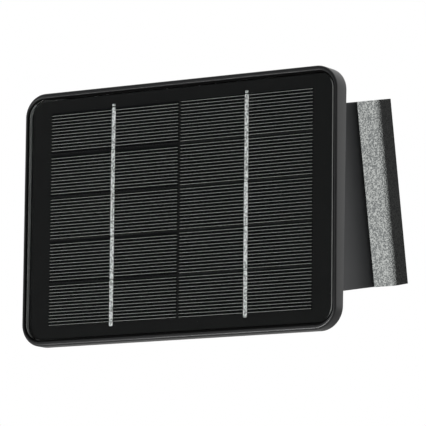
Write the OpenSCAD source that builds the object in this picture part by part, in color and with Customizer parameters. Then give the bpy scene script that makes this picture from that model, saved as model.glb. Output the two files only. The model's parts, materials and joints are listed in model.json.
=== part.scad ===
// Solar-powered security camera on an aluminium wall profile.
// Origin: centre of the profile's back face, on the wall. +Z is up, -Y points away from the wall.

/* [Solar panel] */
// Outer width of the panel tray
panel_w = 187.8; // [184:0.2:204]
// Outer height of the panel tray, measured along its slope
panel_h = 132.8; // [129:0.2:146]
// Corner radius of the panel tray
panel_corner = 12; // [8:0.5:16]
// How far the top of the panel leans back towards the wall, in degrees
panel_tilt = 11.5; // [8:0.5:14]
// Distance from the wall to the middle of the glass
panel_standoff = 71; // [70:0.5:76]
// Height of the middle of the glass above the middle of the profile
panel_rise = 2.2; // [1:0.2:4]
// Thickness of the tray's side at its lower edge
tray_thick_low = 7.5; // [6:0.1:8]
// Thickness of the tray's side at its upper edge
tray_thick_high = 10.4; // [9:0.1:10.8]
// Radius of the tray's front outer edge
rim_round = 1.2; // [0.8:0.1:1.3]
// Width of the rim at the two sides of the glass
rim_w = 1.5; // [1.5:0.1:4]
// Width of the rim above and below the glass
rim_end_w = 2.4; // [2.2:0.1:4]

/* [Solar cells] */
// Width of one cell
cell_w = 78.1; // [70:0.1:80]
// Height of one cell
cell_h = 21.7; // [18:0.1:22]
// Gap between the two columns of cells
column_gap = 1.3; // [0.8:0.1:3]
// Distance between the rows of cells
row_pitch = 22.6; // [22.3:0.1:24]
// Width of the solder ribbon along each column
ribbon_w = 2.4; // [1.5:0.1:4]
// How far the cells sit to the right of the middle of the glass
cell_shift = -0.15; // [-3:0.05:3]

/* [Body] */
// Width of the body inside the wall profile
body_w = 155.5; // [153:0.1:155.9]
// Height of the body and of the wall profile
body_h = 95; // [94:0.5:110]
// Half width of the body at its narrow waist
waist_half_w = 63.6; // [63.2:0.1:64.4]
// Radius of the hollow curve of the body's sides
flare_r = 100; // [98:1:104]
// Wall thickness of the body shell
wall = 2.5; // [2.3:0.1:2.6]

/* [Wall profile] */
// Overall width of the wall profile
profile_w = 181.1; // [179:0.1:191]
// Thickness of the profile's web
web_t = 2.5; // [2:0.1:3]
// Wall thickness of the profile's two hollow side beams
beam_t = 2; // [1.6:0.1:2.4]
// How far the side beams stand out from the wall
beam_depth = 14; // [13:0.5:15]
// Radius of the side beams' outer front edges
shoulder_r = 3; // [1.5:0.5:4]
// Radius of the side beams' inner front edges
lip_r = 1; // [0.5:0.1:1.5]
// Distance between the wall screws across
wall_hole_x = 132; // [126:1:136]
// Distance between the wall screws up and down
wall_hole_z = 64; // [50:1:74]
// Radius of the wall screw holes
wall_hole_r = 2.5; // [2:0.1:3]

/* [Camera eye] */
// Radius of the camera ball
ball_r = 16.5; // [15.5:0.1:16.5]
// How far down the lens looks at rest, in degrees below the horizon
lens_down = 45; // [42:1:60]
// Number of infrared lamps around the lens
led_count = 6; // [4:1:8]

/* [Hidden] */
$fn = 64;
corner_steps = 12;
big = 300;

// Stack of the panel, front to back, along the panel's own depth
rim_proud = 0.6;
glass_t = 2;
layer_gap = 0.05;
ribbon_t = 0.15;
cell_t = 0.25;
backsheet_t = 0.4;
glass_clear = 1;
pocket_w = panel_w - 2 * rim_w;
pocket_h = panel_h - 2 * rim_end_w;
pocket_corner = panel_corner - rim_end_w;
glass_w = pocket_w - 2 * glass_clear;
glass_h = pocket_h - 2 * glass_clear;
glass_corner = pocket_corner - glass_clear;
ribbon_y = glass_t + layer_gap;
cell_y = ribbon_y + ribbon_t + layer_gap;
backsheet_y = cell_y + cell_t + layer_gap;
pocket_depth = backsheet_y + backsheet_t + layer_gap;
rows = 5;
column_x = (cell_w + column_gap) / 2;
ribbon_len = 115.6;
ribbon_x = column_x + 0.45;
tray_wedge = atan((tray_thick_high - tray_thick_low) / panel_h);
gasket_t = 1;
panel_boss_r = 4;
panel_boss_at = [[-46, 34], [46, 34], [-46, -30], [46, -30]];
window_w = 32;
window_h = 20;
lead_r = 1.6;
lead_y = -59.4;

// Body and wall profile
profile_clear = 0.4;
body_low = -body_h / 2;
body_high = body_h / 2;
body_back = -6.5;
waist_y = -62;
cover_low = body_low + 0.2;
cover_t = 2.5;
cover_high = cover_low + cover_t;
cover_clear = 0.2;
seal_t = 0.9;
ledge_low = cover_high + seal_t + 0.1;
ledge_t = 2;
ledge_w = 1.2;
boss_size = 9;
boss_at = [[-57.1, -64], [57.1, -64], [-68.1, -13], [68.1, -13]];
boss_high = -22;
screw_r = 1.45;
screw_hole_r = 1.5;

// Sliding rails that the body hangs on
rail_x = 50;
rail_stem_w = 5;
rail_head_w = 12;
rail_head_t = 5;
rail_front = -14;
rail_top = body_high - wall;
rail_clear = 0.3;
guide_w = 18;
guide_front = -16.5;
lock_head_r = 4.2;
port_r = 1.6;
port_y = rail_front + rail_head_t / 2;

// Electronics
board_y = -20.2;
board_t = 1.6;
board_front = board_y - board_t;
board_half_w = 62;
board_low = -36;
board_high = 40;
board_posts = [[-30, -28], [30, -28], [-30, 34], [30, 34]];
cell_d = 18.4;
cell_len = 65.2;
battery_y = -40.5;
battery_z = [31, 10.5];
holder_y = -31;

// Port well in the underside
well_x = [-60, -26];
well_y = [-30, -19];
well_wall = 1.5;
well_roof = -40;
flap_t = 1.6;
flap_over = 1.2;
hinge_y = -17.3;
hinge_z = -48.9;
knuckle_r = 1.3;
hinge_pin_r = 0.7;
run_fit = 0.06;
usb_x = -32;
socket_y = board_front - 3.2;
button_y = -23.8;
power_x = -40.2;
reset_x = -44.8;
card_x = -53.8;
card_w = 11;
card_len = 15;
card_low = -42.5;
card_y = -23.1;

// Camera eye
eye_y = -41.5;
eye_z = -46.5;
ball_wall = 1.6;
seat_gap = 0.4;
ring_r = 22;
ring_low = eye_z - 3;
flange_low = cover_high + 0.3;
flange_t = 2;
flange_r = 24;
rim_r = [24.4, 26];
keeper_low = flange_low + flange_t + 0.3;
keeper_t = 1.5;
face_at = 12.5;
face_t = 1.6;
split_at = 4;
pin_r = 1.5;
pin_from = 13.5;
pin_to = 20.5;
barrel_r = 5.4;
barrel_front = 14.2;
led_ring_r = 7.7;
led_r = 1.1;
window_r = [5.7, 9.6];
window_t = 0.8;

// Sensors beside the eye
pir_at = [45, -45];
pir_r = 9;
speaker_at = [-45, -48];
speaker_r = 13;
mic_at = [-20, -64.5];
light_at = [30, -24];
light_r = 1.5;

// ---- shared shapes ----

function arc(cx, cy, r, from, to) =
  [for (i = [0:corner_steps]) let (a = from + (to - from) * i / corner_steps)
    [cx + r * cos(a), cy + r * sin(a)]];

function rounded(w, h, r) = concat(
  arc(w / 2 - r, h / 2 - r, r, 0, 90), arc(r - w / 2, h / 2 - r, r, 90, 180),
  arc(r - w / 2, r - h / 2, r, 180, 270), arc(w / 2 - r, r - h / 2, r, 270, 360));

// Upright plate with rounded corners, from depth y to y + t
module plate(w, h, r, y, t) {
  translate([0, y + t, 0]) rotate([90, 0, 0]) linear_extrude(t) polygon(rounded(w, h, r));
}

// Box given by its lowest and highest corners
module box(low, high) {
  translate(low) cube(high - low);
}

// Round bar along Y from y = from to y = to
module bar_y(r, from, to) {
  translate([0, to, 0]) rotate([90, 0, 0]) cylinder(r = r, h = to - from);
}

// Round bar along X
module bar_x(r, from, to) {
  translate([from, 0, 0]) rotate([0, 90, 0]) cylinder(r = r, h = to - from);
}

// Round bar along Z
module bar_z(r, from, to) {
  translate([0, 0, from]) cylinder(r = r, h = to - from);
}

// Puts a shape in the panel's own frame: Y is depth behind the glass, Z runs up the slope
module on_panel() {
  translate([0, -panel_standoff, panel_rise]) rotate([-panel_tilt, 0, 0]) children();
}

// Puts a shape on the camera ball: -Y is the way the lens looks
module on_eye() {
  translate([0, eye_y, eye_z]) rotate([lens_down, 0, 0]) children();
}

// Depth of the tray's back face at height z, in the panel's frame
function tray_back(z) = tray_thick_low - rim_proud + (z + panel_h / 2) * tan(tray_wedge);

// Depth where a boss through the body's front wall ends, just inside that wall
function boss_end(z) = tray_back(z) + gasket_t + wall + 0.2;

// Everything further back than the tray's back face plus a gap, in the panel's frame
module behind_tray(gap) {
  translate([0, tray_thick_low - rim_proud + gap, -panel_h / 2]) rotate([-tray_wedge, 0, 0])
    translate([-big / 2, 0, -big / 2]) cube(big);
}

// Solid of the body's outline, drawn in by inset, between two heights
module neck(inset, low, high) {
  half_w = body_w / 2 - inset;
  intersection() {
    on_panel() behind_tray(gasket_t + inset);
    difference() {
      box([-half_w, -big / 3, low], [half_w, body_back - inset, high]);
      for (side = [-1, 1])
        translate([side * (waist_half_w + flare_r), waist_y, 0]) bar_z(flare_r + inset, low - 1, high + 1);
    }
  }
}

// The two blocks inside the body that run on the profile's rails
module guides(grow, low, high) {
  for (side = [-1, 1])
    translate([side * rail_x, 0, 0])
      box([-guide_w / 2 - grow, guide_front - grow, low], [guide_w / 2 + grow, body_back - 1, high]);
}

// Section of one rail along the wall's normal, for the rail and for the groove around it
module rail(grow, low, high) {
  stem = rail_stem_w / 2 + grow;
  head = rail_head_w / 2 + grow;
  union() {
    box([-stem, rail_front + rail_head_t - 1, low], [stem, -1, high]);
    box([-head, rail_front - grow, low], [head, rail_front + rail_head_t + grow, high]);
  }
}

// Screw along Z with its head below: head from head_low, shank up to tip
module screw_up(head_r, head_low, head_t, r, tip) {
  union() {
    bar_z(head_r, head_low, head_low + head_t);
    bar_z(r, head_low + head_t / 2, tip);
  }
}

// ---- solar panel ----

module panel_tray() {
  color([0.09, 0.095, 0.1]) on_panel() difference() {
    union() {
      difference() {
        hull() {
          for (a = [0:22.5:90])
            plate(panel_w - 2 * rim_round * (1 - sin(a)), panel_h - 2 * rim_round * (1 - sin(a)),
              panel_corner - rim_round * (1 - sin(a)), rim_round * (1 - cos(a)) - rim_proud, 6);
          plate(panel_w, panel_h, panel_corner, rim_round, 10);
        }
        behind_tray(0);
      }
      for (p = panel_boss_at)
        translate([p[0], 0, p[1]]) bar_y(panel_boss_r, pocket_depth + 0.5, boss_end(p[1]));
    }
    plate(pocket_w, pocket_h, pocket_corner, -5, pocket_depth + 5);
    for (p = panel_boss_at)
      translate([p[0], 0, p[1]]) bar_y(screw_hole_r, pocket_depth + 1, big);
    box([-5, 0, -3], [5, 20, 3]);
  }
}

module solar_glass() {
  color([0.05, 0.055, 0.07, 0.4]) on_panel() plate(glass_w, glass_h, glass_corner, 0, glass_t);
}

module solar_cells() {
  color([0.05, 0.06, 0.12]) on_panel()
    for (side = [-1, 1], row = [0:rows - 1])
      translate([cell_shift + side * column_x, 0, (row - (rows - 1) / 2) * row_pitch])
        box([-cell_w / 2, cell_y, -cell_h / 2], [cell_w / 2, cell_y + cell_t, cell_h / 2]);
}

module cell_ribbons() {
  color([0.75, 0.75, 0.78]) on_panel()
    for (side = [-1, 1])
      translate([cell_shift + side * ribbon_x, 0, 0])
        box([-ribbon_w / 2, ribbon_y, -ribbon_len / 2], [ribbon_w / 2, ribbon_y + ribbon_t, ribbon_len / 2]);
}

module panel_backsheet() {
  color([0.04, 0.04, 0.045]) on_panel()
    plate(glass_w, glass_h, glass_corner, backsheet_y, backsheet_t);
}

// Bead of sealant between the laminate's edge and the tray
module panel_sealant() {
  color([0.03, 0.03, 0.03]) on_panel() difference() {
    plate(pocket_w - 0.1, pocket_h - 0.1, pocket_corner - 0.05, 0.4, pocket_depth - 0.5);
    plate(glass_w + 0.1, glass_h + 0.1, glass_corner + 0.05, -1, pocket_depth + 2);
  }
}

// Foam seal between the tray's back and the body's front wall
module panel_gasket() {
  color([0.06, 0.06, 0.06]) difference() {
    intersection() {
      on_panel() behind_tray(0);
      difference() {
        box([-big, -big / 3, body_low + 1.5], [big, body_back, body_high - 1.5]);
        for (side = [-1, 1])
          translate([side * (waist_half_w + flare_r), waist_y, 0]) bar_z(flare_r + 1.5, -big / 2, big / 2);
      }
    }
    on_panel() behind_tray(gasket_t - 0.05);
    on_panel() box([-window_w / 2, -big / 2, -window_h / 2], [window_w / 2, big / 2, window_h / 2]);
    for (p = panel_boss_at)
      on_panel() translate([p[0], 0, p[1]]) bar_y(panel_boss_r + 0.1, 0, big / 3);
  }
}

module panel_screws() {
  tip = pocket_depth + 1.5;
  color([0.55, 0.55, 0.56]) on_panel()
    for (p = panel_boss_at) let (head = boss_end(p[1]) + 0.05)
      translate([p[0], 0, p[1]]) union() {
        bar_y(screw_r, tip, head + 1);
        bar_y(5, head, head + 2);
      }
}

module junction_box() {
  front = tray_back(7) + 0.3;
  back = 16;
  color([0.1, 0.1, 0.1]) difference() {
    on_panel() difference() {
      box([-13, front, -7], [13, back, 7]);
      box([-11.5, 5, -5.5], [11.5, back - 1.5, 5.5]);
    }
    translate([0, lead_y, 0]) bar_z(lead_r + 0.2, -20, -2);
  }
}

// Two-core lead from the junction box to the main board
module panel_lead() {
  drop_z = -13;
  color([0.08, 0.08, 0.08]) union() {
    translate([0, lead_y, 0]) bar_z(lead_r, drop_z, -5);
    translate([0, lead_y, drop_z]) sphere(r = lead_r + 0.02);
    translate([0, 0, drop_z]) bar_y(lead_r, lead_y, board_front - 4.3);
  }
}

module lead_plug() {
  color([0.85, 0.83, 0.76]) box([-5, board_front - 4.2, -16], [5, board_front - 0.05, -10]);
}

// ---- body ----

module body_shell() {
  color([0.13, 0.135, 0.14]) difference() {
    union() {
      difference() {
        neck(0, body_low, body_high);
        neck(wall, body_low - 1, body_high - wall);
      }
      // Ledge that the cover's seal presses on
      difference() {
        neck(wall - 0.5, ledge_low, ledge_low + ledge_t);
        neck(wall + ledge_w, ledge_low - 1, ledge_low + ledge_t + 1);
      }
      intersection() {
        neck(0.5, ledge_low, boss_high);
        for (p = boss_at)
          translate([p[0], p[1], 0])
            box([-boss_size / 2, -boss_size / 2, ledge_low], [boss_size / 2, boss_size / 2, boss_high]);
      }
      guides(0, body_low, body_high - 1);
      for (p = board_posts)
        translate([p[0], 0, p[1]]) bar_y(3.5, board_y + 0.05, body_back - 1);
    }
    for (side = [-1, 1])
      translate([side * rail_x, 0, 0]) rail(rail_clear, body_low - 1, rail_top + rail_clear);
    for (p = boss_at)
      translate([p[0], p[1], 0]) bar_z(screw_hole_r, ledge_low - 1, boss_high - 4);
    for (p = board_posts)
      translate([p[0], 0, p[1]]) bar_y(1.25, board_y - 1, board_y + 8);
    on_panel() box([-window_w / 2, 0, -window_h / 2], [window_w / 2, 18, window_h / 2]);
    for (p = panel_boss_at)
      on_panel() translate([p[0], 0, p[1]]) bar_y(panel_boss_r + 0.1, 0, 20);
  }
}

module bottom_cover() {
  color([0.1, 0.105, 0.11]) difference() {
    union() {
      difference() {
        neck(wall + cover_clear, cover_low, cover_high);
        guides(cover_clear, cover_low - 1, cover_high + 1);
      }
      // Rim around the turret, which carries its keeper ring
      translate([0, eye_y, 0]) difference() {
        bar_z(rim_r[1], cover_high - 1, keeper_low);
        bar_z(rim_r[0], cover_high - 2, keeper_low + 1);
      }
      // Well around the sockets and buttons
      box([well_x[0] - well_wall, well_y[0] - well_wall, cover_high - 1],
        [well_x[1] + well_wall, well_y[1] + well_wall, well_roof + well_wall]);
      // Ears of the port cover's hinge
      for (x = [well_x[0] - flap_over - 2, well_x[1] + flap_over + 0.3])
        box([x, hinge_y - 1.5, hinge_z - 1.3], [x + 1.7, hinge_y + 1.5, cover_low + 0.5]);
    }
    translate([0, eye_y, 0]) bar_z(ring_r + 0.3, cover_low - 1, cover_high + 1);
    box([well_x[0], well_y[0], cover_low - 1], [well_x[1], well_y[1], well_roof]);
    translate([usb_x - 4.8, socket_y - 0.3, well_roof - 1]) cube([9.6, 3.8, 4]);
    for (b = [[power_x, 2.5], [reset_x, 1.7]])
      translate([b[0], button_y, 0]) bar_z(b[1], well_roof - 1, well_roof + 3);
    translate([card_x - 6, card_y - 1, well_roof - 1]) cube([12, 2, 4]);
    translate([0, hinge_y, hinge_z]) bar_x(hinge_pin_r + 0.03, -80, 0);
    translate([pir_at[0], pir_at[1], 0]) bar_z(pir_r + 0.2, cover_low - 1, cover_high + 1);
    for (i = [-3:3])
      translate([speaker_at[0] + i * 3.2, speaker_at[1], 0])
        box([-0.8, -10 + abs(i) * 1.2, cover_low - 1], [0.8, 10 - abs(i) * 1.2, cover_high + 1]);
    translate([mic_at[0], mic_at[1], 0]) bar_z(0.6, cover_low - 1, cover_high + 1);
    translate([light_at[0], light_at[1], 0]) bar_z(light_r + 0.1, cover_low - 1, cover_high + 1);
    for (p = boss_at)
      translate([p[0], p[1], 0]) {
        bar_z(screw_hole_r + 0.2, cover_low - 1, cover_high + 1);
        bar_z(3.3, cover_low - 1, cover_low + 1.4);
      }
    for (a = [60, 180, 300])
      translate([25.2 * cos(a), eye_y + 25.2 * sin(a), 0]) bar_z(0.45, cover_high, keeper_low + 1);
  }
}

module cover_gasket() {
  color([0.03, 0.03, 0.03]) difference() {
    neck(wall + 0.1, cover_high + 0.05, cover_high + seal_t);
    neck(wall + ledge_w, cover_high - 1, cover_high + seal_t + 1);
    guides(0.2, cover_high - 1, cover_high + 2);
  }
}

module cover_screws() {
  color([0.6, 0.6, 0.6])
    for (p = boss_at)
      translate([p[0], p[1], 0]) screw_up(3, cover_low + 0.1, 1.2, screw_r, -30);
}

// ---- wall profile ----

module wall_profile() {
  beam_in = body_w / 2 + profile_clear;
  beam_out = profile_w / 2;
  lip = arc(beam_in + lip_r, lip_r - beam_depth, lip_r, 180, 270);
  shoulder = arc(beam_out - shoulder_r, shoulder_r - beam_depth, shoulder_r, 270, 360);
  half = concat([[0, 0], [0, -web_t], [beam_in, -web_t]], lip, shoulder, [[beam_out, 0]]);
  color([0.2, 0.205, 0.215]) difference() {
    union() {
      translate([0, 0, body_low]) linear_extrude(body_h) polygon(half);
      translate([0, 0, body_low]) linear_extrude(body_h) mirror([1, 0]) polygon(half);
      for (side = [-1, 1])
        translate([side * rail_x, 0, 0]) rail(0, body_low, rail_top);
    }
    // Chambers of the two side beams
    for (side = [-1, 1])
      translate([side * (beam_in + beam_out) / 2, 0, 0])
        box([(beam_in - beam_out) / 2 + beam_t, beam_t - beam_depth, body_low - 1],
          [(beam_out - beam_in) / 2 - beam_t, -web_t, body_high + 1]);
    for (x = [-1, 1], z = [-1, 1])
      translate([x * wall_hole_x / 2, 0, z * wall_hole_z / 2]) bar_y(wall_hole_r, -web_t - 1, 1);
    for (side = [-1, 1])
      translate([side * rail_x, port_y, 0]) bar_z(port_r, body_low - 1, rail_top + 1);
  }
}

module locking_screws() {
  color([0.6, 0.6, 0.6])
    for (side = [-1, 1])
      translate([side * rail_x, port_y, 0]) difference() {
        screw_up(lock_head_r, body_low - 2.6, 2.5, screw_r, body_low + 18);
        translate([0, 0, body_low - 3]) cylinder(r = 1.8, h = 1.9, $fn = 6);
      }
}

// ---- battery ----

module battery_holder() {
  color([0.08, 0.08, 0.09]) difference() {
    union() {
      box([-38, holder_y, -1], [38, holder_y + 2, body_high - wall - 0.1]);
      for (side = [-1, 1])
        translate([side * 37, 0, 0]) box([-1, -49, -1], [1, holder_y + 1, 42]);
      box([-38, -36, 20.2], [38, holder_y + 1, 21.4]);
    }
    box([-20, -60, 5], [20, 0, 16]);
  }
}

module battery_cells() {
  color([0.2, 0.35, 0.6])
    for (z = battery_z)
      translate([0, battery_y, z]) union() {
        bar_x(cell_d / 2, -cell_len / 2, cell_len / 2 - 0.1);
        bar_x(3, 0, cell_len / 2 + 1);
      }
}

module battery_contacts() {
  color([0.8, 0.8, 0.75])
    for (side = [-1, 1], z = battery_z)
      translate([side * 35.6, battery_y, z]) box([-0.25, -4, -4], [0.25, 4, 4]);
}

// ---- electronics ----

module main_board() {
  color([0.05, 0.25, 0.12]) difference() {
    box([-board_half_w, board_front, board_low], [board_half_w, board_y, board_high]);
    for (p = board_posts)
      translate([p[0], 0, p[1]]) bar_y(1.6, board_front - 1, board_y + 1);
  }
}

module processor_shield() {
  color([0.7, 0.7, 0.7]) difference() {
    box([-50, board_front - 2.6, -15], [-18, board_front - 0.05, 15]);
    box([-49.6, board_front - 2.2, -14.6], [-18.4, board_front + 1, 14.6]);
  }
}

module board_screws() {
  color([0.6, 0.6, 0.6])
    for (p = board_posts)
      translate([p[0], 0, p[1]]) union() {
        bar_y(2.6, board_front - 1.5, board_front - 0.05);
        bar_y(1.2, board_front - 1, board_y + 7);
      }
}

module wifi_antenna() {
  top = body_high - wall - 0.05;
  color([0.75, 0.5, 0.15]) box([-60, -28, top - 0.4], [-42, -19, top]);
}

module usb_socket() {
  color([0.7, 0.7, 0.72]) difference() {
    box([usb_x - 4.5, socket_y, -41], [usb_x + 4.5, board_front - 0.05, -33.7]);
    box([usb_x - 4, socket_y + 0.4, -42], [usb_x + 4, board_front - 0.5, -35]);
  }
}

module card_socket() {
  color([0.65, 0.65, 0.66]) difference() {
    box([card_x - 6.2, card_y - 1.2, -38.3], [card_x + 6.2, board_front - 0.05, -25.5]);
    box([card_x - 5.8, card_y - 0.8, -40], [card_x + 5.8, card_y + 0.8, -26.2]);
  }
}

module memory_card() {
  color([0.12, 0.12, 0.13])
    box([card_x - card_w / 2, card_y - 0.4, card_low],
      [card_x + card_w / 2, card_y + 0.4, card_low + card_len]);
}

module button_switches() {
  color([0.3, 0.3, 0.3])
    for (x = [power_x, reset_x])
      translate([x, 0, 0]) box([-2.2, board_front - 3.5, -37.3], [2.2, board_front - 0.05, -33]);
}

module power_button() {
  color([0.2, 0.2, 0.2]) translate([power_x, button_y, 0]) bar_z(2.2, -43.8, -38.3);
}

module reset_button() {
  color([0.5, 0.1, 0.1]) translate([reset_x, button_y, 0]) bar_z(1.4, -43, -38.3);
}

module port_cover() {
  low = hinge_z - 0.3;
  color([0.06, 0.06, 0.06]) difference() {
    union() {
      box([well_x[0] - flap_over, well_y[0] - flap_over, low],
        [well_x[1] + flap_over, hinge_y, low + flap_t - 0.1]);
      translate([0, hinge_y, hinge_z]) bar_x(knuckle_r, well_x[0] - flap_over, well_x[1] + flap_over);
      // Finger lip at the free edge
      box([-48, well_y[0] - flap_over - 1.6, low], [-38, well_y[0], low + 1]);
    }
    translate([0, hinge_y, hinge_z]) bar_x(hinge_pin_r + run_fit, -80, 0);
  }
}

module port_cover_pin() {
  color([0.7, 0.7, 0.7]) translate([0, hinge_y, hinge_z])
    bar_x(hinge_pin_r, well_x[0] - flap_over - 1.9, well_x[1] + flap_over + 1.9);
}

module status_light() {
  color([0.9, 0.9, 0.85]) translate([light_at[0], light_at[1], 0])
    bar_z(light_r, cover_low - 0.2, board_low - 0.5);
}

module microphone() {
  color([0.7, 0.65, 0.5]) translate([mic_at[0], mic_at[1], 0]) bar_z(3, cover_high + 0.1, cover_high + 2.6);
}

module speaker() {
  low = cover_high + 0.1;
  color([0.15, 0.15, 0.15]) translate([speaker_at[0], speaker_at[1], 0]) difference() {
    union() {
      bar_z(speaker_r, low, low + 2);
      bar_z(speaker_r - 3, low + 1, low + 5);
    }
    bar_z(speaker_r - 1.5, low - 1, low + 0.8);
  }
}

module pir_lens() {
  color([0.8, 0.8, 0.78]) translate([pir_at[0], pir_at[1], 0]) difference() {
    union() {
      intersection() {
        translate([0, 0, cover_high - 1]) sphere(r = pir_r);
        bar_z(pir_r + 1, -60, cover_high);
      }
      bar_z(pir_r + 1.5, cover_high + 0.05, cover_high + 1);
      bar_z(pir_r - 0.5, cover_high - 1, cover_high + 1);
    }
    translate([0, 0, cover_high - 1]) sphere(r = pir_r - 1);
    bar_z(pir_r - 1.5, cover_high - 1, cover_high + 3);
  }
}

module pir_sensor() {
  color([0.75, 0.75, 0.72]) translate([pir_at[0], pir_at[1], 0])
    bar_z(4.6, cover_high + 1.2, cover_high + 5.2);
}

// ---- camera eye ----

module retaining_ring() {
  color([0.5, 0.5, 0.5]) translate([0, eye_y, 0]) difference() {
    bar_z(rim_r[1], keeper_low + 0.02, keeper_low + keeper_t);
    bar_z(19, keeper_low - 1, keeper_low + keeper_t + 1);
    for (a = [60, 180, 300])
      translate([25.2 * cos(a), 25.2 * sin(a), 0]) bar_z(0.5, keeper_low - 1, keeper_low + keeper_t + 1);
  }
}

module retaining_screws() {
  top = keeper_low + keeper_t + 0.05;
  color([0.6, 0.6, 0.6]) translate([0, eye_y, 0])
    for (a = [60, 180, 300])
      translate([25.2 * cos(a), 25.2 * sin(a), 0]) union() {
        bar_z(0.4, cover_high + 0.3, top + 0.5);
        bar_z(0.9, top, top + 0.8);
      }
}

module turret_ring() {
  color([0.12, 0.12, 0.125]) translate([0, eye_y, 0]) difference() {
    union() {
      bar_z(ring_r, ring_low, flange_low + flange_t);
      bar_z(flange_r, flange_low, flange_low + flange_t);
    }
    translate([0, 0, eye_z]) sphere(r = ball_r + seat_gap);
    for (side = [-1, 1])
      translate([side * 18, 0, eye_z]) bar_x(pin_r + run_fit, -3, 3);
  }
}

module ball_front() {
  inner = ball_r - ball_wall;
  color([0.1, 0.1, 0.105]) on_eye() difference() {
    union() {
      difference() {
        intersection() {
          sphere(r = ball_r);
          box([-big, -face_at, -big], [big, split_at, big]);
        }
        intersection() {
          sphere(r = inner);
          box([-big, face_t - face_at, -big], [big, big, big]);
        }
      }
      // Bosses that hold the tilt pins
      for (side = [-1, 1])
        translate([side * (inner - 1), 0, 0]) bar_x(3, -1.7, 1.7);
    }
    bar_y(barrel_r + 0.1, -big / 10, 0);
    for (i = [0:led_count - 1]) let (a = (i + 0.5) * 360 / led_count)
      translate([led_ring_r * cos(a), 0, led_ring_r * sin(a)]) bar_y(led_r + 0.15, -big / 10, 0);
    for (side = [-1, 1])
      translate([side * 16, 0, 0]) bar_x(pin_r + 0.02, -6, 6);
  }
}

module ball_rear() {
  color([0.1, 0.1, 0.105]) on_eye() difference() {
    intersection() {
      sphere(r = ball_r);
      box([-big, split_at + 0.05, -big], [big, big, big]);
    }
    sphere(r = ball_r - ball_wall);
    bar_y(3, 0, big / 10);
  }
}

module tilt_pins() {
  color([0.7, 0.7, 0.72])
    for (side = [-1, 1])
      translate([side * (pin_from + pin_to) / 2, eye_y, eye_z])
        bar_x(pin_r, (pin_from - pin_to) / 2, (pin_to - pin_from) / 2);
}

module lens_barrel() {
  color([0.05, 0.05, 0.05]) on_eye() difference() {
    bar_y(barrel_r, -barrel_front, -3.1);
    bar_y(4.5, -barrel_front - 1, 2.6 - barrel_front);
    bar_y(3, -barrel_front, -2);
  }
}

module lens_glass() {
  color([0.15, 0.2, 0.3, 0.6]) on_eye() intersection() {
    bar_y(4.4, -barrel_front - 1, 2.5 - barrel_front);
    translate([0, 7.4 - barrel_front, 0]) sphere(r = 8);
  }
}

module face_window() {
  color([0.03, 0.03, 0.035, 0.9]) on_eye() difference() {
    bar_y(window_r[1], -face_at - window_t, -face_at - 0.02);
    bar_y(window_r[0], -face_at - 2, 0);
  }
}

module ir_lamps() {
  color([0.5, 0.4, 0.45]) on_eye()
    for (i = [0:led_count - 1]) let (a = (i + 0.5) * 360 / led_count)
      translate([led_ring_r * cos(a), 0, led_ring_r * sin(a)]) bar_y(led_r, -face_at + 0.1, -face_at + 4);
}

module sensor_board() {
  color([0.05, 0.25, 0.12]) on_eye() bar_y(9.5, -3, -1.8);
}

panel_tray();
solar_glass();
solar_cells();
cell_ribbons();
panel_backsheet();
panel_sealant();
panel_gasket();
panel_screws();
junction_box();
panel_lead();
lead_plug();
body_shell();
bottom_cover();
cover_gasket();
cover_screws();
wall_profile();
locking_screws();
battery_holder();
battery_cells();
battery_contacts();
main_board();
processor_shield();
board_screws();
wifi_antenna();
usb_socket();
card_socket();
memory_card();
button_switches();
power_button();
reset_button();
port_cover();
port_cover_pin();
status_light();
microphone();
speaker();
pir_lens();
pir_sensor();
retaining_ring();
retaining_screws();
turret_ring();
ball_front();
ball_rear();
tilt_pins();
lens_barrel();
lens_glass();
face_window();
ir_lamps();
sensor_board();
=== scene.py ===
# %% [markdown]
# # Solar-powered security camera, in Blender
# A framed solar panel leans back on a flared plastic body, which hangs on an extruded wall profile. A ball
# camera, a motion sensor and a port well sit on the body's underside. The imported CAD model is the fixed
# frame: every piece made here takes its place and overall size from it. What a box can't give, such as the
# pitch of the cells and the radius of the panel's corners, repeats the CAD's own numbers.

# %% Load the frame
import json
from math import cos, pi, radians, sin

import bpy
import numpy as np
from mathutils import Matrix, Vector


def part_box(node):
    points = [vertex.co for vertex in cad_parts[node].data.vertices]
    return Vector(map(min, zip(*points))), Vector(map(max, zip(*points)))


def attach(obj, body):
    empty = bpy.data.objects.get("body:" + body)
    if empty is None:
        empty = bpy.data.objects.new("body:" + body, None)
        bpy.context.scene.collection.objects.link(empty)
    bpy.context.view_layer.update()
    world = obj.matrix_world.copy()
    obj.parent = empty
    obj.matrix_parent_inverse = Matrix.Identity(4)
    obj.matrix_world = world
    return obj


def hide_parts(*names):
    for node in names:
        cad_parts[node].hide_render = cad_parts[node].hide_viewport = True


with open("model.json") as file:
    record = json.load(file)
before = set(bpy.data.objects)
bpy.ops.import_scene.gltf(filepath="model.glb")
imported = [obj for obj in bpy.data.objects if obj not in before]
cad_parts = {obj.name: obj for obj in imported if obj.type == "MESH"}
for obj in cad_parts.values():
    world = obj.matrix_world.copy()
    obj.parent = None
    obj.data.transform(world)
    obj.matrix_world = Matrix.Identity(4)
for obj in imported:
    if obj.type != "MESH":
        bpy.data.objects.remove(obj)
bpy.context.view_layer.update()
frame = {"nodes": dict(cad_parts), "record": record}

MM = 0.001
nodes = frame["nodes"]
record = frame["record"]

# %% [markdown]
# ## The panel's own axes
# The panel leans back, so working on it in upright coordinates would put a sine and a cosine in every line.
# Its glass is a flat plate, and the directions in which a plate's points spread most and least are its
# length, its height and its thickness. Those three directions come out of one eigenvector call, and every
# panel piece is then drawn flat: across, depth behind the glass, and up the slope.

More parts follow.
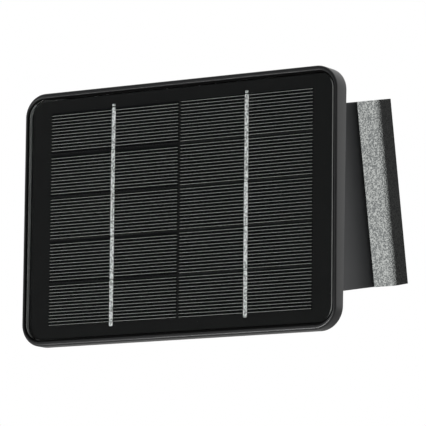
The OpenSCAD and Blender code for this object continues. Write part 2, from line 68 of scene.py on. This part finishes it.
# %% Panel axes
def corners_of(node):
    """All of a CAD node's points, as an array of rows x, y, z."""
    mesh = nodes[node].data
    flat = np.zeros(len(mesh.vertices) * 3)
    mesh.vertices.foreach_get("co", flat)
    return flat.reshape(-1, 3)


glass_points = corners_of("solar_glass")
glass_middle = (glass_points.min(axis=0) + glass_points.max(axis=0)) / 2
outline_points = np.unique(np.round(glass_points, 7), axis=0)
spread = np.linalg.eigh(np.cov((outline_points - outline_points.mean(axis=0)).T))[1]
PANEL_BACK, PANEL_UP, PANEL_RIGHT = (axis for axis in spread.T)
PANEL_RIGHT = PANEL_RIGHT * np.sign(PANEL_RIGHT[0])
PANEL_UP = PANEL_UP * np.sign(PANEL_UP[2])
PANEL_BACK = PANEL_BACK * np.sign(PANEL_BACK[1])
PANEL_AXES = np.stack([PANEL_RIGHT, PANEL_BACK, PANEL_UP])
glass_depths = (glass_points - glass_middle) @ PANEL_BACK
PANEL_CENTRE = glass_middle + PANEL_BACK * glass_depths.min()


def on_panel(across, depth, up):
    """Points in the upright frame: the centre plus across, depth and up times the panel's three axes."""
    local = np.stack(np.broadcast_arrays(across, depth, up), axis=-1)
    return PANEL_CENTRE + local @ PANEL_AXES


def on_panel_box(node):
    """Lowest and highest corner of a CAD node, measured along the panel's axes."""
    local = (corners_of(node) - PANEL_CENTRE) @ PANEL_AXES.T
    return local.min(axis=0), local.max(axis=0)


glass_low, glass_high = on_panel_box("solar_glass")
print("glass, mm:", np.round((glass_high - glass_low) / MM, 2), "lean", np.round(np.degrees(PANEL_UP[1]), 1))

# %% [markdown]
# ## The camera
# A long lens from the front right, a little above the middle of the panel and tipped slightly. The camera
# is built from the direction in which it looks back, so that its roll is one turn in its own picture plane.

# %% Camera
view_azimuth = radians(31.432)
view_elevation = radians(1.235)
view_roll = radians(-5.426)
view_distance = 1853.81 * MM
view_slide = (18.65 * MM, -2.29 * MM)
view_lens = 308.45
sensor_width = 36

looks_back = Vector((sin(view_azimuth) * cos(view_elevation), -cos(view_azimuth) * cos(view_elevation),
                     sin(view_elevation)))
level_right = Vector((0, 0, 1)).cross(looks_back).normalized()
level_up = looks_back.cross(level_right)
rolled_right = cos(view_roll) * level_right + sin(view_roll) * level_up
rolled_up = cos(view_roll) * level_up - sin(view_roll) * level_right
slide = view_slide[0] * rolled_right + view_slide[1] * rolled_up
stand = Vector(PANEL_CENTRE) + slide + view_distance * looks_back

lens = bpy.data.cameras.new("view")
lens.lens = view_lens
lens.sensor_width = sensor_width
lens.clip_end = 20
viewer = bpy.data.objects.new("view", lens)
bpy.context.scene.collection.objects.link(viewer)
turned = Matrix((rolled_right, rolled_up, looks_back)).transposed().to_4x4()
viewer.matrix_world = Matrix.Translation(stand) @ turned
bpy.context.scene.camera = viewer
print("camera at", tuple(round(v, 3) for v in stand))

# %% [markdown]
# ## Soft studio light
# Dark plastic shows the room more than its own colour. Its sides mirror a white paper sweep behind the
# object, and its front mirrors a dim room, which is why the panel looks black and its edges grey. The world
# therefore grows brighter towards the back, and looks plain white only to the camera itself. One wide, low
# softbox in front lights what faces forwards; it hangs below the glass's line of reflection. A second one is
# flagged off to reach the wall profile alone, whose front face would otherwise lie in the panel's shadow.

# %% A wrapper for shader sums
class Wire:
    """An output socket that can stand in a Python sum. Each operator adds one Math node to its tree."""

    def __init__(self, sheet, socket):
        self.sheet, self.socket = sheet, socket

    def _math(self, operation, left, right):
        return self.sheet.node("ShaderNodeMath", {"operation": operation}, {0: left, 1: right})

    def __add__(self, other):
        return self._math("ADD", self, other)

    def __mul__(self, other):
        return self._math("MULTIPLY", self, other)

    __radd__ = __add__
    __rmul__ = __mul__


class Sheet:
    """A node tree to draw a finish on."""

    def __init__(self, tree):
        self.tree = tree
        tree.nodes.clear()

    def node(self, kind, settings=None, sockets=None, output=0):
        """Adds a node. Settings come first, a ramp's "stops" among them, then sockets by name or number."""
        made = self.tree.nodes.new(kind)
        for name, value in (settings or {}).items():
            if name == "stops":
                for stop in list(made.color_ramp.elements)[2:]:
                    made.color_ramp.elements.remove(stop)
                while len(made.color_ramp.elements) < len(value):
                    made.color_ramp.elements.new(1)
                for stop, (place, level) in zip(made.color_ramp.elements, value):
                    stop.position = place
                    stop.color = (level, level, level, 1)
            else:
                setattr(made, name, value)
        for name, value in (sockets or {}).items():
            if isinstance(value, Wire):
                self.tree.links.new(value.socket, made.inputs[name])
            else:
                made.inputs[name].default_value = value
        return Wire(self, made.outputs[output]) if made.outputs else None

    def place(self, squeeze=(1, 1, 1)):
        """The object's own coordinates in metres, stretched by a factor along each axis."""
        spot = self.node("ShaderNodeTexCoord", output="Object")
        return self.node("ShaderNodeMapping", sockets={"Vector": spot, "Scale": squeeze})

    def grain(self, size, detail=2, squeeze=(1, 1, 1)):
        """Noise from 0 to 1 whose lumps measure about size metres."""
        return self.node("ShaderNodeTexNoise", sockets={
            "Vector": self.place(squeeze), "Scale": 1 / size, "Detail": detail})

    def ramp(self, value, *stops):
        """A value sent through a grey ramp, as pairs of place and level."""
        return self.node("ShaderNodeValToRGB", {"stops": stops}, {"Fac": value})

    def blend(self, factor, first, second):
        """A colour between two colours."""
        sockets = {0: factor, 6: first, 7: second}
        return self.node("ShaderNodeMix", {"data_type": "RGBA"}, sockets, output=2)

    def bump(self, height, depth, strength=1.0):
        """A dented normal, from a height between 0 and 1 that stands for depth metres."""
        sockets = {"Height": height, "Distance": depth, "Strength": strength}
        return self.node("ShaderNodeBump", sockets=sockets)


def rgb(red, green, blue):
    return (red, green, blue, 1)


# %% World
sweep_dim = 0.03
sweep_stops = ((0.0, 0.03), (0.27, 1.0), (0.55, 1.0), (1.0, 0.75))

world = bpy.data.worlds.new("studio")
bpy.context.scene.world = world
world.use_nodes = True
room = Sheet(world.node_tree)
toward = room.node("ShaderNodeTexCoord", output="Generated")
toward_back = room.node("ShaderNodeSeparateXYZ", sockets={0: toward}, output="Y")
sweep = room.ramp(toward_back, *sweep_stops) * (1 - sweep_dim) + sweep_dim
seen = room.node("ShaderNodeLightPath", output="Is Camera Ray")
level = room.node("ShaderNodeMix", sockets={0: seen, 2: sweep, 3: 1.0})
glow = room.node("ShaderNodeBackground", sockets={"Color": rgb(1, 1, 1), "Strength": level})
room.node("ShaderNodeOutputWorld", sockets={"Surface": glow})
bpy.context.scene.view_settings.view_transform = "Standard"


# %% Softboxes
def softbox(name, azimuth, elevation, distance, size, power, aim=(0, 0, 0), only=None):
    """A rectangular light that faces its aim. If it names only one node, just that node is lit and shades."""
    away = Vector((sin(azimuth) * cos(elevation), -cos(azimuth) * cos(elevation), sin(elevation)))
    lamp = bpy.data.lights.new(name, "AREA")
    lamp.shape = "RECTANGLE"
    lamp.size, lamp.size_y = size
    lamp.energy = power
    holder = bpy.data.objects.new(name, lamp)
    bpy.context.scene.collection.objects.link(holder)
    holder.location = Vector(aim) + away * distance
    holder.rotation_euler = away.to_track_quat("Z", "Y").to_euler()
    holder.visible_camera = False
    if only:
        flagged = bpy.data.collections.new(name)
        flagged.objects.link(nodes[only])
        holder.light_linking.receiver_collection = flagged
        holder.light_linking.blocker_collection = flagged
    return holder


profile_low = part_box("wall_profile")[0]
beam_face = (84 * MM, profile_low.y, 0)
lamp_distance = 1.6
softbox("front_low", radians(-14), radians(-14), lamp_distance, (0.9, 0.5), 50)
softbox("beam_front", radians(-4), 0, lamp_distance, (0.25, 0.5), 172, aim=beam_face, only="wall_profile")
print(len(bpy.data.lights), "softboxes")

# %% [markdown]
# ## The floor
# A pale disc well under the object. It is wide enough to ground the views from other sides and small
# enough to stay below the main picture.

# %% Floor
floor_drop = 0.3
floor_radius = 1.4
turns = np.linspace(0, 2 * pi, 96, endpoint=False)
rim_points = np.stack([floor_radius * np.cos(turns), floor_radius * np.sin(turns),
                       turns * 0 - floor_drop], axis=1)
floor_mesh = bpy.data.meshes.new("floor")
floor_mesh.from_pydata(rim_points.tolist(), [], [list(range(len(turns)))])
floor = bpy.data.objects.new("floor", floor_mesh)
bpy.context.scene.collection.objects.link(floor)
paper = bpy.data.materials.new("pale_paper")
paper.use_nodes = True
sheet = Sheet(paper.node_tree)
fibre = sheet.grain(3 * MM)
tone = sheet.blend(fibre, rgb(0.78, 0.78, 0.77), rgb(0.84, 0.84, 0.83))
face = sheet.node("ShaderNodeBsdfPrincipled", sockets={"Base Color": tone, "Roughness": 0.8})
sheet.node("ShaderNodeOutputMaterial", sockets={"Surface": face})
floor_mesh.materials.append(paper)
print("floor disc", 2 * floor_radius, "m wide")

# %% [markdown]
# ## Turning surfaces into pieces
# Most new shapes here are a closed outline carried through a list of positions, which gives a grid of
# points: one row per position, one column per outline point. The same few lines then join any such grid.
# The signed volume says whether the shape came out inside out, and if it did, every face is flipped.

# %% Mesh helpers
def grid_faces(rows, columns, start=0):
    """Quads between neighbouring rows of a grid whose columns close round, numbered from start."""
    i, j = np.meshgrid(np.arange(rows - 1), np.arange(columns), indexing="ij")
    i, j = i.ravel(), j.ravel()
    right = (j + 1) % columns
    near, far = i * columns, (i + 1) * columns
    quads = np.stack([near + j, near + right, far + right, far + j], axis=1)
    return (quads + start).tolist()


def closed_grid(points, start=0):
    """Points and faces of a grid of rows, with its first and last row closed by one flat face each."""
    rows, columns = points.shape[:2]
    faces = grid_faces(rows, columns, start)
    faces.append([start + j for j in reversed(range(columns))])
    faces.append([start + (rows - 1) * columns + j for j in range(columns)])
    return points.reshape(-1, 3), faces


def signed_volume(points, faces):
    """Volume inside the faces: each face's fan of triangles gives a sixth of a . (b x c), summed."""
    fans = np.array([(f[0], f[k], f[k + 1]) for f in faces for k in range(1, len(f) - 1)])
    a, b, c = points[fans[:, 0]], points[fans[:, 1]], points[fans[:, 2]]
    return float(np.einsum("ij,ij->i", a, np.cross(b, c)).sum() / 6)


def make_piece(name, grids, finish, body="housing", replaces=None, sharp=35):
    """One object from several closed grids, facing outwards, smooth but for edges over sharp degrees."""
    points, faces = [], []
    for grid in grids:
        own_points, own_faces = closed_grid(grid)
        if signed_volume(own_points, own_faces) < 0:
            own_faces = [f[::-1] for f in own_faces]
        start = sum(len(p) for p in points)
        points.append(own_points)
        faces.extend([[start + k for k in f] for f in own_faces])
    mesh = bpy.data.meshes.new(name)
    mesh.from_pydata(np.concatenate(points).tolist(), [], faces)
    mesh.materials.append(finish)
    mesh.polygons.foreach_set("use_smooth", np.ones(len(mesh.polygons), bool))
    mesh.set_sharp_from_angle(angle=radians(sharp))
    piece = bpy.data.objects.new(name, mesh)
    bpy.context.scene.collection.objects.link(piece)
    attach(piece, body)
    if replaces:
        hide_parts(replaces)
    print(name, len(mesh.polygons), "faces")


def rounded_outline(half_width, half_height, radius, steps=14):
    """Outline of a rounded rectangle: four quarter circles, joined by the straight sides between them."""
    turn = np.linspace(0, pi / 2, steps + 1)
    quarter = np.concatenate([turn + k * pi / 2 for k in range(4)])
    side_x = np.repeat([1, -1, -1, 1], steps + 1)
    side_z = np.repeat([1, 1, -1, -1], steps + 1)
    x = side_x * (half_width - radius) + radius * np.cos(quarter)
    z = side_z * (half_height - radius) + radius * np.sin(quarter)
    return x, z


# %% [markdown]
# ## Finishes
# Each finish starts from one Principled shader. Moulded plastic is never one flat colour: it has a faint
# cloudiness, a roughness that wanders, and a fine spark-eroded grain, each a noise at its own scale.

# %% Plastic, rubber and metal
def finish(sheet, colour, roughness, metallic=0.0, normal=None, **more):
    """Closes a sheet with a Principled shader. Colour and roughness are values or wires."""
    sockets = {"Base Color": colour, "Roughness": roughness, "Metallic": metallic}
    if normal is not None:
        sockets["Normal"] = normal
    sockets.update(more)
    shader = sheet.node("ShaderNodeBsdfPrincipled", sockets=sockets)
    sheet.node("ShaderNodeOutputMaterial", sockets={"Surface": shader})


def new_sheet(name):
    """A fresh material and the sheet to draw it on."""
    material = bpy.data.materials.new(name)
    material.use_nodes = True
    return material, Sheet(material.node_tree)


def moulded(name, colour, roughness, grain_size=0.35 * MM, grain_depth=0.01 * MM, **more):
    """Moulded plastic or rubber: cloudy colour, wandering roughness and fine grain."""
    material, sheet = new_sheet(name)
    cloud = sheet.grain(14 * MM, detail=3)
    fine = sheet.grain(grain_size)
    darker = rgb(*(0.86 * c for c in colour))
    lighter = rgb(*(min(1, 1.14 * c) for c in colour))
    finish(sheet, sheet.blend(cloud, darker, lighter), cloud * 0.08 + fine * 0.06 + (roughness - 0.07),
           normal=sheet.bump(fine, grain_depth), **more)
    return material


def metal(name, colour, roughness, brushed=(1, 1, 8)):
    """Bare or plated metal: fine lines along one axis, with duller patches."""
    material, sheet = new_sheet(name)
    lines = sheet.grain(0.5 * MM, squeeze=brushed)
    patch = sheet.grain(4 * MM)
    dull = rgb(*(0.75 * c for c in colour))
    finish(sheet, sheet.blend(patch, dull, rgb(*colour)), lines * 0.16 + (roughness - 0.08), metallic=1.0,
           normal=sheet.bump(lines, 0.01 * MM))
    return material


# %% Powder coat
def powder_coated():
    """Fine-textured powder coat: small rounded grains with pits between them, colour darkened between the
    grains as painted shade, and a satin gloss.
    """
    material, sheet = new_sheet("powder_coat")
    lump_and_shade = sheet.ramp(sheet.grain(0.65 * MM, detail=1), (0.4, 0.0), (0.6, 1.0))
    cell = sheet.node("ShaderNodeTexVoronoi", sockets={"Vector": sheet.place(), "Scale": 1 / (0.75 * MM)})
    pit = sheet.ramp(cell, (0.1, 1.0), (0.75, 0.0))
    # Painted shade: the colour is darker where the grains sink, because the same lump noise also sets the
    # height.
    tone = sheet.blend(lump_and_shade, rgb(0.024, 0.0255, 0.0255), rgb(0.075, 0.0775, 0.075))
    height = pit * 0.5 + lump_and_shade * 0.5
    finish(sheet, tone, lump_and_shade * 0.2 + 0.5, normal=sheet.bump(height, 0.3 * MM), **{"Specular IOR Level": 0.05})
    return material


# %% Silicon, film and ribbon
def silicon():
    """Blue-black silicon: faint crystals, each a shade of its own, and a gloss that varies slowly."""
    material, sheet = new_sheet("cell_silicon")
    crystal = sheet.node("ShaderNodeTexVoronoi", sockets={"Vector": sheet.place(), "Scale": 1 / (6 * MM)},
                         output="Color")
    shade = sheet.node("ShaderNodeRGBToBW", sockets={0: crystal})
    tone = sheet.blend(shade, rgb(0.0009, 0.001, 0.0018), rgb(0.0015, 0.0016, 0.0025))
    cloud = sheet.grain(40 * MM)
    finish(sheet, tone, cloud * 0.1 + 0.3, **{"Specular IOR Level": 0.05})
    return material


def tinned():
    """Tinned copper ribbon: solder frozen in ripples, with a painted highlight on the crests and painted
    shade in the hollows.
    """
    material, sheet = new_sheet("ribbon_metal")
    ripple = sheet.grain(0.9 * MM, detail=3)
    spark = sheet.grain(0.45 * MM)
    crest_highlight_mask = sheet.ramp(ripple, (0.42, 0.0), (0.53, 1.0))
    # Painted highlight and shade: the colour follows the same ripple as the bump, light on the crests and
    # dark in the hollows.
    tone = sheet.blend(crest_highlight_mask, rgb(0.34, 0.34, 0.33), rgb(1.0, 1.0, 0.99))
    finish(sheet, tone, spark * 0.3 + 0.34, metallic=0.2, normal=sheet.bump(ripple, 0.25 * MM))
    return material


def silver_paste():
    """Fired silver paste: matt, pale grey, slightly broken along its length."""
    material, sheet = new_sheet("silver_paste")
    speck = sheet.grain(0.4 * MM)
    finish(sheet, sheet.blend(speck, rgb(0.52, 0.51, 0.48), rgb(0.7, 0.69, 0.66)), speck * 0.2 + 0.5)
    return material


# %% [markdown]
# ## Glass that shows what lies beneath
# Real refraction would need thousands of samples to light the cells, because lamps can't be found through a
# bent ray. A thin flat pane hardly bends anything, so it is made from two simple shaders instead: it lets
# light straight through, and adds a mirror whose strength follows Fresnel's law. One fault is known and left
# as it is: seen from far off its normal the pane turns black and hides the cells, probably because the
# Fresnel node turns to total reflection on the pane's back face beyond about 44 degrees.

# %% Glass
def pane_glass():
    """A clear pane: transparent with a Fresnel mirror, and frosted where a ground side edge turns away."""
    material, sheet = new_sheet("panel_glass")
    smear = sheet.grain(30 * MM, detail=3)
    mirror = sheet.node("ShaderNodeBsdfGlossy", sockets={"Roughness": smear * 0.03 + 0.02})
    clear = sheet.node("ShaderNodeBsdfTransparent", sockets={"Color": rgb(0.93, 0.94, 0.94)})
    share = sheet.node("ShaderNodeFresnel", sockets={"IOR": 1.45})
    both = sheet.node("ShaderNodeMixShader", sockets={0: share, 1: clear, 2: mirror})
    outward = sheet.node("ShaderNodeTexCoord", output="Normal")
    facing = sheet.node("ShaderNodeVectorMath", {"operation": "DOT_PRODUCT"},
                        {0: outward, 1: tuple(PANEL_RIGHT)}, output="Value")
    ground = sheet.ramp(facing * facing, (0.3, 0.0), (0.45, 1.0))
    frost = sheet.node("ShaderNodeBsdfPrincipled",
                       sockets={"Base Color": rgb(0.34, 0.35, 0.34), "Roughness": 0.55})
    pane = sheet.node("ShaderNodeMixShader", sockets={0: ground, 1: both, 2: frost})
    sheet.node("ShaderNodeOutputMaterial", sockets={"Surface": pane})
    return material


# %% Lens plastic
def faceted(name, colour):
    """Milky plastic pressed into small lenses: rounded cells about 3 mm wide, each one a dome of its own."""
    material, sheet = new_sheet(name)
    spread_out = sheet.node("ShaderNodeTexVoronoi", sockets={"Vector": sheet.place(), "Scale": 1 / (3 * MM)})
    dome = sheet.ramp(spread_out, (0.0, 1.0), (0.6, 0.0))
    cloud = sheet.grain(5 * MM)
    lighter = rgb(*(min(1, 1.15 * c) for c in colour))
    finish(sheet, sheet.blend(cloud, rgb(*colour), lighter), cloud * 0.1 + 0.3,
           normal=sheet.bump(dome, 0.5 * MM))
    return material


# %% Circuit board
def circuit():
    """Green solder mask over copper: square-cornered tracks from a coarse brick pattern."""
    material, sheet = new_sheet("circuit_board")
    track = sheet.node("ShaderNodeTexBrick", sockets={
        "Vector": sheet.place(), "Scale": 1 / (8 * MM), "Mortar Size": 0.03}, output="Fac")
    speck = sheet.grain(1.5 * MM)
    tone = sheet.blend(track, rgb(0.006, 0.075, 0.03), rgb(0.015, 0.16, 0.06))
    finish(sheet, tone, speck * 0.1 + 0.25, normal=sheet.bump(track, 0.03 * MM))
    return material


finishes = {
    "tray_plastic": moulded("tray_plastic", (0.0165, 0.017, 0.0175), 0.34, **{"Specular IOR Level": 0.52}),
    "panel_glass": pane_glass(),
    "cell_silicon": silicon(),
    "ribbon_metal": tinned(),
    "backsheet_film": moulded("backsheet_film", (0.0095, 0.0098, 0.0096), 0.4,
                              **{"Specular IOR Level": 0.05}),
    "seal_rubber": moulded("seal_rubber", (0.0022, 0.0022, 0.0022), 0.7, **{"Specular IOR Level": 0.05}),
    "steel_screw": metal("steel_screw", (0.62, 0.62, 0.63), 0.3),
    "inner_plastic": moulded("inner_plastic", (0.02, 0.02, 0.021), 0.5),
    "lead_sheath": moulded("lead_sheath", (0.015, 0.015, 0.015), 0.5),
    "plug_ivory": moulded("plug_ivory", (0.72, 0.68, 0.56), 0.42),
    "body_plastic": moulded("body_plastic", (0.066, 0.068, 0.073), 0.36, **{"Specular IOR Level": 0.8}),
    "powder_coat": powder_coated(),
    "battery_wrap": moulded("battery_wrap", (0.03, 0.12, 0.36), 0.25),
    "contact_plate": metal("contact_plate", (0.7, 0.68, 0.6), 0.25),
    "circuit_board": circuit(),
    "tin_plate": metal("tin_plate", (0.66, 0.66, 0.66), 0.35),
    "copper_film": metal("copper_film", (0.72, 0.4, 0.2), 0.3),
    "card_plastic": moulded("card_plastic", (0.015, 0.015, 0.016), 0.35),
    "button_grey": moulded("button_grey", (0.2, 0.2, 0.21), 0.45),
    "button_red": moulded("button_red", (0.3, 0.015, 0.012), 0.4),
    "flap_rubber": moulded("flap_rubber", (0.014, 0.014, 0.015), 0.55),
    "light_guide": moulded("light_guide", (0.75, 0.75, 0.7), 0.2),
    "mic_metal": metal("mic_metal", (0.72, 0.6, 0.36), 0.3),
    "fresnel_plastic": faceted("fresnel_plastic", (0.66, 0.66, 0.63)),
    "turret_plastic": moulded("turret_plastic", (0.012, 0.012, 0.013), 0.3),
    "lens_black": moulded("lens_black", (0.006, 0.006, 0.006), 0.5),
    "lens_optic": moulded("lens_optic", (0.02, 0.012, 0.045), 0.04,
                          **{"Coat Weight": 1.0, "Coat Roughness": 0.02}),
    "smoked_window": moulded("smoked_window", (0.004, 0.004, 0.005), 0.06),
    "lamp_epoxy": moulded("lamp_epoxy", (0.12, 0.05, 0.09), 0.12),
}
for part in record["subparts"]:
    if part["node"] in nodes:
        mesh = nodes[part["node"]].data
        mesh.materials.clear()
        mesh.materials.append(finishes[part["material_slot"]])
print(len(finishes), "finishes")

# %% [markdown]
# ## The panel tray
# One injection-moulded frame: a pocket for the glass, a proud rim with a rounded outer edge, and a back
# that is a flat wedge. One outline carried inwards and outwards through the section makes it all, with
# every edge rounded, because a moulding has no knife edges and the small rounds are what catch the light.

# %% Tray moulding
tray_points = (corners_of("panel_tray") - PANEL_CENTRE) @ PANEL_AXES.T
tray_low, tray_high = tray_points.min(axis=0), tray_points.max(axis=0)
tray_half = (tray_high - tray_low)[[0, 2]] / 2
edge_band = 0.01 * MM
back_low = tray_points[tray_points[:, 2] < tray_low[2] + edge_band, 1].max()
back_high = tray_points[tray_points[:, 2] > tray_high[2] - edge_band, 1].max()
rim_front = tray_low[1]
seal_low, seal_high = on_panel_box("panel_sealant")
sealant_gap = 0.05 * MM
pocket_half = (seal_high - seal_low)[[0, 2]] / 2 + sealant_gap
pocket_depth = 3.0 * MM
tray_corner = 12 * MM
rim_width = tray_half[1] - pocket_half[1]
outer_round, inner_round, back_round = 1.1 * MM, 0.35 * MM, 0.5 * MM
print("tray, mm:", np.round(2 * tray_half / MM, 2), "pocket", np.round(2 * pocket_half / MM, 2))


def tray_back(up):
    """Depth of the tray's back plane at a height: a straight line from its lower to its upper edge."""
    return back_low + (back_high - back_low) * (up - tray_low[2]) / (tray_high[2] - tray_low[2])


def tray_rows():
    """Rows of the tray: pocket wall, inner round, rim, outer round, side, back round, each an outline."""
    rows = []

    def pocket_row(grow, depth):
        x, z = rounded_outline(*(pocket_half + grow), tray_corner - rim_width + grow)
        rows.append(on_panel(x, depth, z))

    def outer_row(inset, depth=None, before_back=0.0):
        x, z = rounded_outline(*(tray_half - inset), tray_corner - inset)
        rows.append(on_panel(x, tray_back(z) - before_back if depth is None else depth, z))

    pocket_row(0, pocket_depth)
    for turn in np.linspace(0, pi / 2, 7):
        pocket_row(inner_round * (1 - cos(turn)), rim_front + inner_round * (1 - sin(turn)))
    for turn in np.linspace(0, pi / 2, 13):
        outer_row(outer_round * (1 - sin(turn)), depth=rim_front + outer_round * (1 - cos(turn)))
    for turn in np.linspace(0, pi / 2, 6):
        outer_row(back_round * (1 - cos(turn)), before_back=back_round * (1 - sin(turn)))
    return np.stack(rows)


make_piece("tray_moulding", [tray_rows()], finishes["tray_plastic"],
           replaces="panel_tray")

# %% [markdown]
# ## The glass
# Tempered glass is ground to a narrow bevel round its edge before it is heated, so its edge is a fine grey
# line. The pane is the same rounded outline, drawn in by the bevel at the front and at the back.

# %% Glass pane
glass_half = (glass_high - glass_low)[[0, 2]] / 2
glass_thick = glass_high[1] - glass_low[1]
bevel = 0.3 * MM
pane_rows = []
for inset, depth in ((bevel, 0), (0, bevel), (0, glass_thick - bevel), (bevel, glass_thick)):
    glass_corner = tray_corner - rim_width - (pocket_half[1] - glass_half[1]) - inset
    x, z = rounded_outline(*(glass_half - inset), glass_corner)
    pane_rows.append(on_panel(x, depth, z))
make_piece("glass_pane", [np.stack(pane_rows)], finishes["panel_glass"],
           replaces="solar_glass", sharp=20)

# %% [markdown]
# ## Grid fingers
# Silver paste is screen-printed on each cell in thin lines, which collect the current. The lines are real
# geometry here, low rounded strips a sixth of a millimetre wide, because a drawn pattern blurs away at a
# distance and can't be measured. Cells are sawn from printed wafers wherever the saw falls, so some cells
# carry thirteen lines and some twelve.

# %% Fingers
cells_low, cells_high = on_panel_box("solar_cells")
ribbons_low, ribbons_high = on_panel_box("cell_ribbons")
cell_rows = 5
column_gap = 1.3 * MM
array_middle = (cells_low[0] + cells_high[0]) / 2
cell_half_width = (cells_high[0] - array_middle - column_gap / 2) / 2
column_middle = column_gap / 2 + cell_half_width
row_pitch = 22.6 * MM
finger_pitch = 1.69 * MM
finger_width = 0.17 * MM
finger_high = 0.03 * MM
finger_margin = 0.1 * MM
finger_counts = {-1: (13, 12, 13, 12, 12), 1: (13, 13, 13, 13, 13)}


def finger(side, up):
    """A strip along the cell: a low half-round section, drawn in at both ends so that it tapers out."""
    length = np.array([-1, -0.995, 0.995, 1]) * (cell_half_width - finger_margin)
    taper = np.array([0.3, 1, 1, 0.3])
    turn = np.linspace(0, pi, 5)
    across = (array_middle + side * column_middle + length)[:, None]
    height = up + finger_width / 2 * taper[:, None] * np.cos(turn)
    depth = cells_low[1] - finger_high * taper[:, None] * np.sin(turn)
    return on_panel(across, depth, height)


fingers = []
for side, counts in finger_counts.items():
    for row, count in enumerate(counts):
        middle = (row - (cell_rows - 1) / 2) * row_pitch
        for k in range(count):
            fingers.append(finger(side, middle + (k - (count - 1) / 2) * finger_pitch))
make_piece("grid_fingers", fingers, silver_paste(), sharp=60)

# %% [markdown]
# ## Solder ribbons
# A tinned ribbon runs down each column and joins its cells in a row. The iron leaves it rippled, each cell's
# length is laid slightly off the last, and a short tail stays beyond the top cell. Each length is a strip
# whose top is a height field: a few long waves plus finer ones, added as sines with seeded phases.

# %% Ribbons
ribbon_points = (corners_of("cell_ribbons") - PANEL_CENTRE) @ PANEL_AXES.T
right_ribbon = ribbon_points[ribbon_points[:, 0] > array_middle, 0]
ribbon_half = (right_ribbon.max() - right_ribbon.min()) / 2
ribbon_middle = (right_ribbon.max() + right_ribbon.min()) / 2 - array_middle
ribbon_front, ribbon_rear = ribbons_low[1], ribbons_high[1]
ribbon_end = ribbons_high[2]
jog = 0.08 * MM
break_gap = 0.22 * MM
tail_length = 1.2 * MM
shuffle = np.random.default_rng(7)


def ribbon_length(side, low, high, offset, narrow):
    """A strip from low to high, flat behind and domed in front, with its height and edges waving."""
    up = np.linspace(low, high, max(8, int((high - low) / (0.35 * MM))))
    turn = np.linspace(0, pi, 9)
    phases = shuffle.uniform(0, 2 * pi, 6)
    wave = sum(np.sin(2 * pi * up / (pitch * MM) + phase)
               for pitch, phase in zip((9.0, 4.3, 2.1), phases)) / 3
    ragged = sum(np.sin(2 * pi * up / (pitch * MM) + phase)
                 for pitch, phase in zip((5.1, 1.7, 0.9), phases[3:])) / 3
    ends = np.clip(np.minimum(up - low, high - up) / (0.3 * MM), 0, 1) ** 0.5
    half = (ribbon_half - jog) * narrow * (1 + 0.05 * ragged) * (0.7 + 0.3 * ends)
    dome = (ribbon_rear - ribbon_front) * (0.8 + 0.2 * wave) * (0.35 + 0.65 * ends)
    across = array_middle + side * ribbon_middle + offset + half[:, None] * np.cos(turn)
    depth = ribbon_rear - dome[:, None] * np.sin(turn) ** 0.5
    return on_panel(across, depth, up[:, None] + 0 * turn)


lengths = []
for side in (-1, 1):
    cuts = [-ribbon_end] + [(k - cell_rows / 2) * row_pitch for k in range(1, cell_rows)]
    cuts += [ribbon_end - tail_length - 2 * break_gap]
    for low, high in zip(cuts[:-1], cuts[1:]):
        offset = jog * shuffle.uniform(-1, 1)
        lengths.append(ribbon_length(side, low + break_gap / 2, high - break_gap / 2, offset, 1.0))
    lengths.append(ribbon_length(side, ribbon_end - tail_length, ribbon_end, 0, 0.85))
make_piece("solder_ribbons", lengths, finishes["ribbon_metal"],
           replaces="cell_ribbons", sharp=60)
